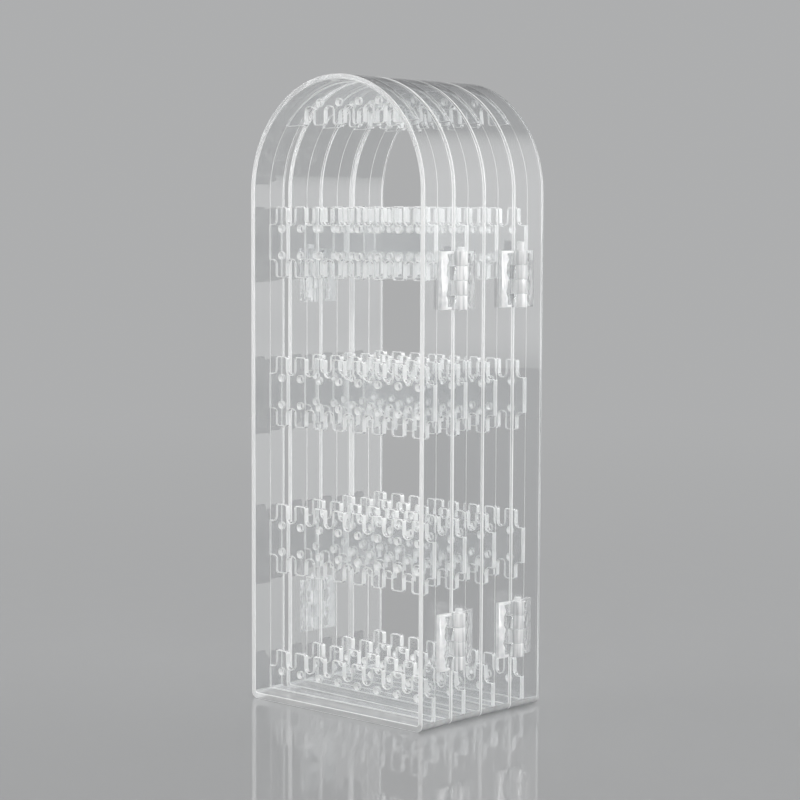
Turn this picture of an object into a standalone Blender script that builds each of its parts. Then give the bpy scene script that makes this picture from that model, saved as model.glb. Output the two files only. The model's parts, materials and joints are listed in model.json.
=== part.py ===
# Foldable jewelry organizer: four arched panels of clear plastic, hinged like a folding screen.
# X runs across a panel, Y from the front panel to the back one, Z up; metres.
# The origin lies on the ground under the middle of the whole object.

import math

import bmesh
import bpy
from mathutils import Matrix, Vector

MM = 0.001

# Panel
PANEL_WIDTH = 109.5 * MM
PANEL_HEIGHT = 300.0 * MM
PANEL_DEPTH = 20.7 * MM
PANEL_GAP = 0.3 * MM
PANEL_COUNT = 4
ROOT_PANEL = 2
WALL = 2.5 * MM
BASE = 3.0 * MM
RIDGE = 0.25 * MM
FOOT_RADIUS = 3.5 * MM

# Bars
BAR_THICKNESS = 2.6 * MM
SEAT_GAP = 0.3 * MM
TIER_COUNT = 5
TOP_TIER_BELOW_CROWN = 5.9 * MM
BOTTOM_TIER_ABOVE_BASE = 3.5 * MM
PEG_PITCH = 12.45 * MM
PEG_WIDTH = 7.3 * MM
PEG_TIP = 17.0 * MM
PEG_CORNER = 1.5 * MM
NOTCH_FLOOR = 8.2 * MM
SHOULDER_RISE = 0.6 * MM
SHOULDER_LEAST = 0.5 * MM
CROWN_LEAST = 2.5 * MM
HOLE_RADIUS = 1.5 * MM
HOLE_ROW = 6.45 * MM

# Hinges
BARREL_RADIUS = 3.25 * MM
BARREL_TO_WALL = 0.75 * MM
PIN_RADIUS = 1.7 * MM
PIN_CLEARANCE = 0.3 * MM
KNUCKLE_HEIGHT = 6.375 * MM
KNUCKLE_GAP = 0.3 * MM
KNUCKLE_COUNT = 4
LEAF_REACH = 11.5 * MM
LEAF_PLATE = 1.3 * MM
LEAF_RIM = 2.6 * MM
LEAF_RIB = 3.4 * MM
LEAF_RAIL = 1.2 * MM
LEAF_EDGE_CLEARANCE = 0.45 * MM
ARM_OVERLAP = 0.5 * MM
LOWER_HINGE_HEIGHT = 27.1 * MM
UPPER_HINGE_BELOW_SPRINGING = 26.3 * MM
PIN_STUB = 2.0 * MM
PIN_TAIL = 0.5 * MM
PIN_CHAMFER = 0.35 * MM
BACK_UPPER_PIN_RAISED = 2.4 * MM

# Rest pose: how far the outer panels stand ajar
FRONT_AJAR = math.radians(2.2)
BACK_AJAR = math.radians(0.9)

# Steps of the round stretches
ARCH_STEPS = 24
FOOT_STEPS = 3
NOTCH_STEPS = 3
SHOULDER_STEPS = 2
HOLE_STEPS = 6
BARREL_STEPS = 12
CUT_MARGIN = 1.0 * MM
WELD = 0.001 * MM

# Worked out from the sizes above
HALF_WIDTH = PANEL_WIDTH / 2
PANEL_PITCH = PANEL_DEPTH + PANEL_GAP
STACK_DEPTH = PANEL_COUNT * PANEL_PITCH - PANEL_GAP
MID_DEPTH = PANEL_DEPTH / 2
SPRINGING = PANEL_HEIGHT - HALF_WIDTH
BAR_HALF_LENGTH = HALF_WIDTH - WALL - RIDGE - SEAT_GAP
TOP_TIER = PANEL_HEIGHT - TOP_TIER_BELOW_CROWN
BOTTOM_TIER = BASE + BOTTOM_TIER_ABOVE_BASE
TIER_PITCH = (TOP_TIER - BOTTOM_TIER) / (TIER_COUNT - 1)
NOTCH_RADIUS = (PEG_PITCH - PEG_WIDTH) / 2
TOOTHED_LENGTH = 2 * (BAR_HALF_LENGTH - SHOULDER_LEAST - NOTCH_RADIUS)
PEG_COUNT = 1 + int((TOOTHED_LENGTH - PEG_WIDTH) / PEG_PITCH)
PEGS = [(place - (PEG_COUNT - 1) / 2) * PEG_PITCH for place in range(PEG_COUNT)]
AXIS_OFFSET = BARREL_RADIUS + BARREL_TO_WALL
AXIS_X = HALF_WIDTH + AXIS_OFFSET
LEAF_HEIGHT = KNUCKLE_COUNT * KNUCKLE_HEIGHT + (KNUCKLE_COUNT - 1) * KNUCKLE_GAP
HINGE_HEIGHTS = {
    "lower": LOWER_HINGE_HEIGHT,
    "upper": SPRINGING - UPPER_HINGE_BELOW_SPRINGING - LEAF_HEIGHT,
}
AJAR = {1: FRONT_AJAR, PANEL_COUNT: BACK_AJAR}


# The closed stack: panel 1's front face at depth 0, the hinges on the right and the left by turns

def joint_side(joint):
    """1 where the hinges between this panel and the next are on the right wall, -1 on the left."""
    return 1 if joint % 2 == 1 else -1


def joint_axis(joint):
    """Where the axis between this panel and the next lies in the closed stack."""
    return Vector((joint_side(joint) * AXIS_X, joint * PANEL_PITCH - PANEL_GAP / 2, 0.0))


def swung_depth(depth, joint, angle):
    """Depth that a corner of the wall far from the hinge reaches when its panel turns."""
    axis_depth = joint_axis(joint).y
    across = HALF_WIDTH + AXIS_X
    return axis_depth - math.sin(angle) * across + math.cos(angle) * (depth - axis_depth)


FRONT_REACH = swung_depth(0.0, 1, FRONT_AJAR)
BACK_REACH = swung_depth(STACK_DEPTH, PANEL_COUNT - 1, -BACK_AJAR)
FRONT_FACE = -(FRONT_REACH + BACK_REACH) / 2


# Scene and materials

for old in list(bpy.data.objects):
    bpy.data.objects.remove(old, do_unlink=True)


def new_collection(name):
    """Make a collection and link it to the scene."""
    collection = bpy.data.collections.new(name)
    bpy.context.scene.collection.children.link(collection)
    return collection


PARTS = new_collection("foldable_jewelry_organizer")
CUTTERS = new_collection("cutters")


def clear_plastic(name, tint, roughness):
    """Clear moulded plastic with a faint tint."""
    material = bpy.data.materials.new(name)
    material.use_nodes = True
    shader = material.node_tree.nodes["Principled BSDF"]
    shader.inputs["Base Color"].default_value = (*tint, 1.0)
    shader.inputs["Roughness"].default_value = roughness
    shader.inputs["Metallic"].default_value = 0.0
    shader.inputs["IOR"].default_value = 1.57
    shader.inputs["Transmission Weight"].default_value = 1.0
    return material


FRAME_PLASTIC = clear_plastic("clear_frame_plastic", (0.95, 0.96, 0.97), 0.03)
BAR_PLASTIC = clear_plastic("clear_bar_plastic", (0.96, 0.97, 0.97), 0.03)
HINGE_PLASTIC = clear_plastic("clear_hinge_plastic", (0.93, 0.94, 0.94), 0.12)
PIN_PLASTIC = clear_plastic("clear_pin_plastic", (0.90, 0.91, 0.91), 0.2)


# Outlines, as lists of (across, up) points that run counterclockwise

def arc(centre, radius, start, end, steps):
    """Points of an arc from start to end, in degrees."""
    points = []
    for step in range(steps + 1):
        angle = math.radians(start + (end - start) * step / steps)
        points.append((centre[0] + radius * math.cos(angle), centre[1] + radius * math.sin(angle)))
    return points


def circle(centre, radius, steps):
    """A closed round outline, its last point one step short of its first."""
    return arc(centre, radius, 0, 360 - 360 / steps, steps - 1)


def mirrored(points):
    """The points mirrored left to right, in the order that keeps the same turn."""
    return [(-across, up) for across, up in reversed(points)]


def turned_over(points, centre):
    """The points turned half round about the middle of a bar's line."""
    return [(-across, 2 * centre - up) for across, up in points]


def frame_outer_outline():
    """Round-footed base, straight walls and a half-circle arch."""
    foot = HALF_WIDTH - FOOT_RADIUS
    right = arc((foot, FOOT_RADIUS), FOOT_RADIUS, -90, 0, FOOT_STEPS)
    top = arc((0, SPRINGING), HALF_WIDTH, 0, 180, ARCH_STEPS)
    return right + top + mirrored(right)


def frame_opening_outline(inset):
    """The opening of a frame, made smaller all round by inset."""
    half = HALF_WIDTH - WALL - inset
    floor = BASE + inset
    return [(half, floor)] + arc((0, SPRINGING), half, 0, 180, ARCH_STEPS) + [(-half, floor)]


def peg_tip(across, level):
    """The rounded end of one peg that points up, walked from right to left."""
    half = PEG_WIDTH / 2
    flat = half - PEG_CORNER
    return [(across + half, level - PEG_CORNER), (across + flat, level),
            (across - flat, level), (across - half, level - PEG_CORNER)]


def notch(across, floor):
    """The round floor of one notch that is open at the top, walked from right to left."""
    return arc((across, floor + NOTCH_RADIUS), NOTCH_RADIUS, 0, -180, NOTCH_STEPS)


def shoulder(across, floor):
    """From the bar's right end in to the outer side of its last peg."""
    corner = (across + NOTCH_RADIUS, floor + NOTCH_RADIUS)
    fillet = arc(corner, NOTCH_RADIUS, -90, -180, SHOULDER_STEPS)
    return [(BAR_HALF_LENGTH, floor + SHOULDER_RISE)] + fillet


def toothed_edge(centre):
    """The upper edge of a bar whose middle line lies at centre, from right to left."""
    floor = centre + NOTCH_FLOOR
    right_shoulder = shoulder(PEGS[-1] + PEG_WIDTH / 2, floor)
    points = list(right_shoulder)
    for peg in reversed(PEGS):
        points += peg_tip(peg, centre + PEG_TIP)
        if peg > PEGS[0]:
            points += notch(peg - PEG_PITCH / 2, floor)
    return points + mirrored(right_shoulder)


def peg_holes(pegs, row):
    """A hole at the root of each peg, in one row."""
    return [circle((peg, row), HOLE_RADIUS, HOLE_STEPS) for peg in pegs]


def double_bar(centre):
    """Pegs up and down, with a hole at the root of each."""
    upper = toothed_edge(centre)
    holes = peg_holes(PEGS, centre - HOLE_ROW) + peg_holes(PEGS, centre + HOLE_ROW)
    return [upper + turned_over(upper, centre)] + holes


def bottom_bar(centre):
    """Pegs up only; the lower part ends on the base."""
    foot = BASE + RIDGE + SEAT_GAP
    outline = toothed_edge(centre) + [(-BAR_HALF_LENGTH, foot), (BAR_HALF_LENGTH, foot)]
    return [outline] + peg_holes(PEGS, centre + HOLE_ROW)


def crown_reach(level):
    """How far from the middle the arched top edge of the top bar lies at a level."""
    return math.sqrt(BAR_HALF_LENGTH ** 2 - (level - SPRINGING) ** 2)


def top_bar(centre):
    """Plate that fills the arch: whole pegs hang in the middle, a plain wedge closes each end."""
    room = crown_reach(centre - NOTCH_FLOOR + CROWN_LEAST)
    to_wedge = PEG_PITCH - PEG_WIDTH / 2
    hanging = [peg for peg in PEGS if abs(peg) + to_wedge < room]
    start = math.degrees(math.asin((centre - PEG_TIP - SPRINGING) / BAR_HALF_LENGTH))
    crown = arc((0, SPRINGING), BAR_HALF_LENGTH, start, 180 - start, ARCH_STEPS // 2)
    wedge = hanging[-1] + to_wedge
    edge = [(wedge, centre + PEG_TIP)]
    for peg in reversed(hanging):
        edge += notch(peg + PEG_PITCH / 2, centre + NOTCH_FLOOR)
        edge += peg_tip(peg, centre + PEG_TIP)
    edge += notch(hanging[0] - PEG_PITCH / 2, centre + NOTCH_FLOOR)
    edge += [(-wedge, centre + PEG_TIP)]
    return [crown + turned_over(edge, centre)] + peg_holes(hanging, centre - HOLE_ROW)


def knuckle_outline():
    """Plan of a knuckle with its arm, seen from above: x out from the wall, leaf towards -y."""
    back = SEAT_GAP - AXIS_OFFSET
    root = -(LEAF_REACH - LEAF_RIB) - ARM_OVERLAP
    barrel = arc((0, 0), BARREL_RADIUS, -90, 180, BARREL_STEPS * 3 // 4)
    return [(back, 0), (back, root), (back + LEAF_PLATE, root)] + barrel


# Solids

def flat_curve(name, outlines, thickness):
    """A 2D curve: the first outline filled, the others left as holes."""
    curve = bpy.data.curves.new(name, "CURVE")
    curve.dimensions = "2D"
    curve.fill_mode = "BOTH"
    curve.extrude = thickness / 2
    for points in outlines:
        spline = curve.splines.new("POLY")
        spline.points.add(len(points) - 1)
        for point, (across, up) in zip(spline.points, points):
            point.co = (across, up, 0.0, 1.0)
        spline.use_cyclic_u = True
    return curve


def flat_solid(name, outlines, thickness, transform):
    """A flat curve made a closed mesh object, in its place."""
    pattern = bpy.data.objects.new(name, flat_curve(name, outlines, thickness))
    bpy.context.scene.collection.objects.link(pattern)
    pattern.matrix_world = transform
    bpy.context.view_layer.update()
    depsgraph = bpy.context.evaluated_depsgraph_get()
    mesh = bpy.data.meshes.new_from_object(pattern.evaluated_get(depsgraph))
    weld = bmesh.new()
    weld.from_mesh(mesh)
    bmesh.ops.remove_doubles(weld, verts=weld.verts, dist=WELD)
    bmesh.ops.recalc_face_normals(weld, faces=weld.faces)
    weld.to_mesh(mesh)
    weld.free()
    solid = bpy.data.objects.new(f"{name}_solid", mesh)
    solid.matrix_world = pattern.matrix_world.copy()
    bpy.data.objects.remove(pattern, do_unlink=True)
    return solid


def guide(shape):
    """Keep a shape as a cutter or pattern that is no part of the object."""
    CUTTERS.objects.link(shape)
    shape.hide_render = True
    shape.display_type = "WIRE"
    return shape


def box(name, low, high):
    """A box between two corners."""
    low, high = Vector(low), Vector(high)
    place = Matrix.Translation((low + high) / 2) @ Matrix.Diagonal((*(high - low), 1.0))
    mesh = bpy.data.meshes.new(name)
    shape = bmesh.new()
    bmesh.ops.create_cube(shape, size=1.0, matrix=place)
    shape.to_mesh(mesh)
    shape.free()
    return bpy.data.objects.new(name, mesh)


def combine(target, operation, tool):
    """Add a Boolean to target."""
    modifier = target.modifiers.new(f"{operation.lower()} {tool.name}", "BOOLEAN")
    modifier.operation = operation
    modifier.object = tool
    modifier.solver = "EXACT"


def finished_mesh(pattern, name):
    """The mesh that a pattern's modifiers give, in the pattern's place."""
    bpy.context.view_layer.update()
    depsgraph = bpy.context.evaluated_depsgraph_get()
    mesh = bpy.data.meshes.new_from_object(pattern.evaluated_get(depsgraph))
    mesh.transform(pattern.matrix_world)
    mesh.name = name
    return mesh


def loft(name, rings):
    """A closed solid through rings that have the same number of points."""
    mesh = bpy.data.meshes.new(name)
    shape = bmesh.new()
    loops = [[shape.verts.new(point) for point in ring] for ring in rings]
    for near, far in zip(loops, loops[1:]):
        for i in range(len(near)):
            j = (i + 1) % len(near)
            shape.faces.new((near[i], near[j], far[j], far[i]))
    shape.faces.new(loops[0])
    shape.faces.new(loops[-1])
    bmesh.ops.recalc_face_normals(shape, faces=shape.faces)
    shape.to_mesh(mesh)
    shape.free()
    return bpy.data.objects.new(name, mesh)


# Stands a flat solid up in the middle of a panel's depth: outline in X and Z, thickness along Y
UPRIGHT = Matrix.Translation((0, MID_DEPTH, 0)) @ Matrix.Rotation(math.radians(90), 4, "X")


def frame_mesh():
    """One panel's frame: walls, arch and base, a little thicker along the middle of the inside."""
    blank = guide(flat_solid("frame_blank", [frame_outer_outline()], PANEL_DEPTH, UPRIGHT))
    draft = RIDGE / MID_DEPTH
    rings = []
    for depth in (-CUT_MARGIN, MID_DEPTH, PANEL_DEPTH + CUT_MARGIN):
        inset = RIDGE - draft * abs(depth - MID_DEPTH)
        rings.append([(across, depth, up) for across, up in frame_opening_outline(inset)])
    combine(blank, "DIFFERENCE", guide(loft("frame_opening", rings)))
    return finished_mesh(blank, "panel_frame")


def leaf_mesh():
    """One hinge leaf, on the hinge axis: it reaches to -Y and has the first and third knuckle."""
    back = SEAT_GAP - AXIS_OFFSET
    edge = BARREL_RADIUS + LEAF_EDGE_CLEARANCE
    leaf = guide(box("leaf_plate", (back, -LEAF_REACH, 0), (back + LEAF_RIM, -edge, LEAF_HEIGHT)))
    recess_low = (back + LEAF_PLATE, LEAF_RIB - LEAF_REACH, LEAF_RAIL)
    recess_high = (back + LEAF_RIM + CUT_MARGIN, CUT_MARGIN - edge, LEAF_HEIGHT - LEAF_RAIL)
    combine(leaf, "DIFFERENCE", guide(box("leaf_recess", recess_low, recess_high)))
    bore = circle((0, 0), PIN_RADIUS + PIN_CLEARANCE, BARREL_STEPS)
    for place in range(0, KNUCKLE_COUNT, 2):
        middle = place * (KNUCKLE_HEIGHT + KNUCKLE_GAP) + KNUCKLE_HEIGHT / 2
        stand = Matrix.Translation((0, 0, middle))
        knuckle = flat_solid(f"knuckle_{place + 1}", [knuckle_outline(), bore], KNUCKLE_HEIGHT, stand)
        combine(leaf, "UNION", guide(knuckle))
    return finished_mesh(leaf, "hinge_leaf")


def pin_mesh():
    """A plain pin with chamfered ends, on the hinge axis."""
    length = PIN_TAIL + LEAF_HEIGHT + PIN_STUB
    mesh = bpy.data.meshes.new("hinge_pin")
    shape = bmesh.new()
    bmesh.ops.create_cone(shape, cap_ends=True, segments=BARREL_STEPS, radius1=PIN_RADIUS,
                          radius2=PIN_RADIUS, depth=length)
    caps = [face for face in shape.faces if len(face.verts) == BARREL_STEPS]
    rims = {edge for face in caps for edge in face.edges}
    bmesh.ops.bevel(shape, geom=list(rims), offset=PIN_CHAMFER, segments=1, affect="EDGES")
    bmesh.ops.translate(shape, vec=(0, 0, length / 2 - PIN_TAIL), verts=shape.verts)
    shape.to_mesh(mesh)
    shape.free()
    return mesh


# Assembly

def add_empty(name, parent, location, turn):
    """An empty, turned about its own upright axis, that its panel hangs from."""
    empty = bpy.data.objects.new(name, None)
    PARTS.objects.link(empty)
    empty.parent = parent
    empty.location = location
    empty.rotation_euler.z = turn
    return empty


def build_swings():
    """Each panel's empty, on the axis towards the root panel, with its place in the closed stack."""
    start = Vector((0.0, 0.0, 0.0))
    swings = {ROOT_PANEL: (add_empty("panel_stack", None, (0, FRONT_FACE, 0), 0.0), start)}
    chain = [(panel, panel + 1) for panel in range(ROOT_PANEL - 1, 0, -1)]
    chain += [(panel, panel - 1) for panel in range(ROOT_PANEL + 1, PANEL_COUNT + 1)]
    for panel, carrier in chain:
        joint = min(panel, carrier)
        axis = joint_axis(joint)
        parent, parent_axis = swings[carrier]
        turn = joint_side(joint) * (carrier - panel) * AJAR.get(panel, 0.0)
        empty = add_empty(f"panel_{panel}_swing", parent, axis - parent_axis, turn)
        swings[panel] = (empty, axis)
    return swings


def add_part(name, data, material, swing, place):
    """Hang a part from its panel's empty; place is where it lies in the closed stack."""
    part = bpy.data.objects.new(name, data)
    PARTS.objects.link(part)
    if not data.materials:
        data.materials.append(material)
    empty, axis = swing
    part.parent = empty
    part.matrix_local = Matrix.Translation(-axis) @ place


def bar_curve(tier):
    """One bar, as a flat curve in the panel's own width and height."""
    centre = TOP_TIER - (tier - 1) * TIER_PITCH
    outlines = {1: top_bar, TIER_COUNT: bottom_bar}.get(tier, double_bar)
    return flat_curve(f"bar_{tier}", outlines(centre), BAR_THICKNESS)


def build_panels(swings):
    """The frames, each with its bars standing in the middle of its depth."""
    frame = frame_mesh()
    bars = {tier: bar_curve(tier) for tier in range(1, TIER_COUNT + 1)}
    for panel in range(1, PANEL_COUNT + 1):
        place = Matrix.Translation((0, (panel - 1) * PANEL_PITCH, 0))
        add_part(f"panel_{panel}_frame", frame, FRAME_PLASTIC, swings[panel], place)
        for tier, curve in bars.items():
            add_part(f"panel_{panel}_bar_{tier}", curve, BAR_PLASTIC, swings[panel], place @ UPRIGHT)


def build_hinges(swings):
    """Two hinges between each pair of panels; each pin stays with the panel nearer the root."""
    leaf = leaf_mesh()
    pin = pin_mesh()
    over = Matrix.Translation((0, 0, LEAF_HEIGHT)) @ Matrix.Rotation(math.pi, 4, "X")
    for front in range(1, PANEL_COUNT):
        back = front + 1
        on_right = joint_side(front) == 1
        side = Matrix.Rotation(0.0 if on_right else math.pi, 4, "Z")
        upright, flipped = (front, back) if on_right else (back, front)
        pin_panel = front if front >= ROOT_PANEL else back
        for level, height in HINGE_HEIGHTS.items():
            place = Matrix.Translation(joint_axis(front) + Vector((0, 0, height))) @ side
            name = f"hinge_{front}_{back}_{level}"
            add_part(f"{name}_leaf_{upright}", leaf, HINGE_PLASTIC, swings[upright], place)
            add_part(f"{name}_leaf_{flipped}", leaf, HINGE_PLASTIC, swings[flipped], place @ over)
            raised = BACK_UPPER_PIN_RAISED if (back, level) == (PANEL_COUNT, "upper") else 0.0
            lift = Matrix.Translation((0, 0, raised))
            add_part(f"{name}_pin", pin, PIN_PLASTIC, swings[pin_panel], place @ lift)


panel_swings = build_swings()
build_panels(panel_swings)
build_hinges(panel_swings)
bpy.context.view_layer.update()
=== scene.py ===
"""Foldable jewelry organizer: four arched panels of clear plastic, hinged like a folding screen.

X runs across a panel, Y from the front panel to the back one, Z up, in metres. Sizes are given in
millimetres and turned into metres where a mesh is made.
"""

import json
import logging
import math
from dataclasses import dataclass, replace
from enum import Enum, IntEnum
from typing import Any, Iterable

import bpy
import numpy as np
from mathutils import Matrix, Vector
from mathutils.geometry import delaunay_2d_cdt

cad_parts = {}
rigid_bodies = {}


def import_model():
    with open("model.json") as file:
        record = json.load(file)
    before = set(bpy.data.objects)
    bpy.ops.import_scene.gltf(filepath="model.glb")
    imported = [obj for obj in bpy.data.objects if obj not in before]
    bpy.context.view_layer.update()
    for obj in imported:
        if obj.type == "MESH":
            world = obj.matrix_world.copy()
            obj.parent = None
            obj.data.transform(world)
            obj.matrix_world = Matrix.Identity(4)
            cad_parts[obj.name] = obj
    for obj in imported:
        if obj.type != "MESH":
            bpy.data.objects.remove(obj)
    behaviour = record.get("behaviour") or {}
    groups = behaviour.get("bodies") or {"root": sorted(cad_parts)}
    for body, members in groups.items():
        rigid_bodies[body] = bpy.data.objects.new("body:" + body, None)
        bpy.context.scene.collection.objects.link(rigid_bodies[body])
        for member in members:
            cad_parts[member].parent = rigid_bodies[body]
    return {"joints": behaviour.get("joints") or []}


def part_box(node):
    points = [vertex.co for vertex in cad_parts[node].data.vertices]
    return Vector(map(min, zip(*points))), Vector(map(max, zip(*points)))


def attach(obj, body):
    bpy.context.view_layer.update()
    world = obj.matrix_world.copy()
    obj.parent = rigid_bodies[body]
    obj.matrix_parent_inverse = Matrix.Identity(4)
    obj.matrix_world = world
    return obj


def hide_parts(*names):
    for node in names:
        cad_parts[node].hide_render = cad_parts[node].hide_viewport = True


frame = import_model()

LOG = logging.getLogger("organizer")
MM = 0.001
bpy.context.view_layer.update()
Pair = tuple[float, float]
Triple = tuple[float, float, float]

# The place of each finish in the materials of a frame, a bar and a hinge leaf. Rims, edges, rib
# and barrels take whiter copies of the plastic, painted highlight.
FrameFinish = IntEnum("FrameFinish", "WALL RIM_EDGE BASE RIM", start=0)
BarFinish = IntEnum("BarFinish", "FACE EDGE TIP", start=0)
LeafFinish = IntEnum("LeafFinish", "LEAF RIB BARREL EDGE", start=0)


# ---- shader maths

class Wire:
    """An output socket of a shader; Python's operators on it add Math nodes."""

    def __init__(self, graph: "Graph", socket: bpy.types.NodeSocket | None) -> None:
        """Wrap one socket of one graph; a node without outputs has none."""
        self.graph = graph
        self.socket = socket

    def _maths(self, operation: str, left: Any, right: Any) -> "Wire":
        """Add a Math node for two numbers or wires."""
        return self.graph.node("ShaderNodeMath", {"operation": operation}, {0: left, 1: right})

    def __add__(self, other: Any) -> "Wire":
        """Sum."""
        return self._maths("ADD", self, other)

    __radd__ = __add__

    def __sub__(self, other: Any) -> "Wire":
        """Difference."""
        return self._maths("SUBTRACT", self, other)

    def __rsub__(self, other: Any) -> "Wire":
        """Difference, reflected."""
        return self._maths("SUBTRACT", other, self)

    def __mul__(self, other: Any) -> "Wire":
        """Product."""
        return self._maths("MULTIPLY", self, other)

    __rmul__ = __mul__

    def maximum(self, other: Any) -> "Wire":
        """The larger of the two."""
        return self._maths("MAXIMUM", self, other)


class Graph:
    """A node tree under construction."""

    def __init__(self, tree: bpy.types.NodeTree) -> None:
        """Empty the tree."""
        self.tree = tree
        tree.nodes.clear()

    def node(self, kind: str, settings: dict[str, Any] | None = None,
             values: dict[Any, Any] | None = None, output: Any = 0) -> Wire:
        """Add a node, set its properties first and then its sockets.

        Args:
            kind: Type name of the node.
            settings: Values of the node's properties.
            values: Numbers, colours or wires by socket name or index.
            output: Name or index of the output wanted.

        Returns:
            The wire from that output.
        """
        made = self.tree.nodes.new(kind)
        for name, value in (settings or {}).items():
            setattr(made, name, value)
        for name, value in (values or {}).items():
            socket = made.inputs[name]
            if isinstance(value, Wire):
                self.tree.links.new(value.socket, socket)
            elif isinstance(value, tuple) and len(value) == 3 and socket.type == "RGBA":
                socket.default_value = (*value, 1.0)
            else:
                socket.default_value = value
        return Wire(self, made.outputs[output] if len(made.outputs) else None)

    def mixed(self, share: Any, low: Any, high: Any) -> Wire:
        """Blend two colours by a share."""
        return self.node("ShaderNodeMix", {"data_type": "RGBA"},
                         {"Factor": share, 6: low, 7: high}, 2)

    def noise(self, place: Wire, scale: float, detail: float = 2.0, rough: float = 0.5) -> Wire:
        """Noise between 0 and 1 on a place."""
        return self.node("ShaderNodeTexNoise", {"noise_dimensions": "3D"},
                         {"Vector": place, "Scale": scale, "Detail": detail, "Roughness": rough})

    def part(self, vector: Wire, axis: str) -> Wire:
        """One coordinate of a vector."""
        return self.node("ShaderNodeSeparateXYZ", None, {"Vector": vector}, axis)

    def eased(self, value: Wire, low: float, high: float) -> Wire:
        """0 up to low, 1 from high on, and a smooth step between them."""
        return self.node("ShaderNodeMapRange", {"interpolation_type": "SMOOTHSTEP"},
                         {"Value": value, "From Min": low, "From Max": high})

    def blended(self, share: Wire, first: Wire, second: Wire) -> Wire:
        """Mix two shaders; the share is the second one's."""
        return self.node("ShaderNodeMixShader", None, {0: share, 1: first, 2: second})


# ---- finishes

@dataclass(frozen=True)
class ClearPlastic:
    """Clear moulded plastic: glossy, faintly cloudy, with slight flow ripples in its skin; whiter,
    less clear copies of it are painted highlight.
    """

    name: str
    tint: Triple
    deep_tint: Triple
    clarity: float
    gloss: Pair
    cloud_scale: float
    ripple: float
    ripple_scale: float
    stretch: Triple = (1.0, 1.0, 1.0)
    # how far the tint swings with its noise; high values draw painted streaks of glint
    contrast: float = 1.0
    # heights in metres over which a painted highlight fades into clear plastic of clarity cleared
    clears: Pair = (0.0, 0.0)
    cleared: float = 0.88
    fine_scale: float = 9.0
    fine_share: float = 0.3
    ripple_depth: float = 0.0004
    ior: float = 1.57
    shadow: float = 0.12
    let_through: Triple = (0.96, 0.965, 0.965)

    def skin(self, graph: Graph, colour: Wire, rough: Wire, bump: Wire, clarity: float) -> Wire:
        """One glossy plastic with its share of light let through."""
        return graph.node("ShaderNodeBsdfPrincipled", None, {
            "Base Color": colour, "Roughness": rough, "Normal": bump, "IOR": self.ior,
            "Transmission Weight": clarity})

    def material(self) -> bpy.types.Material:
        """Build the material.

        Returns:
            Principled plastic whose tint, roughness and ripples vary with Object coordinates, and
            which lets most of the lamps' light through to what lies behind it. Where a finish's
            painted highlight fades with height, it goes over into clear plastic between the two
            heights.
        """
        made = bpy.data.materials.new(self.name)
        made.use_nodes = True
        graph = Graph(made.node_tree)
        place = graph.node("ShaderNodeTexCoord", output="Object")
        along = graph.node("ShaderNodeMapping", None, {"Vector": place, "Scale": self.stretch})
        cloud = graph.noise(along, self.cloud_scale, detail=3.0)
        fine = graph.noise(place, self.cloud_scale * self.fine_scale, rough=0.6)
        flow = graph.noise(along, self.ripple_scale, detail=1.5)
        low, high = self.gloss
        bump = graph.node("ShaderNodeBump", None, {
            "Strength": self.ripple, "Distance": self.ripple_depth, "Height": flow}, "Normal")
        colour = graph.mixed((cloud - 0.5) * self.contrast + 0.5, self.tint, self.deep_tint)
        rough = (cloud * (1.0 - self.fine_share) + fine * self.fine_share) * (high - low) + low
        skin = self.skin(graph, colour, rough, bump, self.clarity)
        # the painted highlight fades into clear plastic between the two heights
        if self.clears[1] > self.clears[0]:
            share = graph.eased(graph.part(place, "Z"), *self.clears)
            skin = graph.blended(share, skin, self.skin(graph, colour, rough, bump, self.cleared))
        lamp_ray = graph.node("ShaderNodeLightPath", output="Is Shadow Ray")
        through = graph.node("ShaderNodeBsdfTransparent", None, {"Color": self.let_through})
        surface = graph.blended(lamp_ray * (1.0 - self.shadow), skin, through)
        graph.node("ShaderNodeOutputMaterial", None, {"Surface": surface})
        return made


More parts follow.
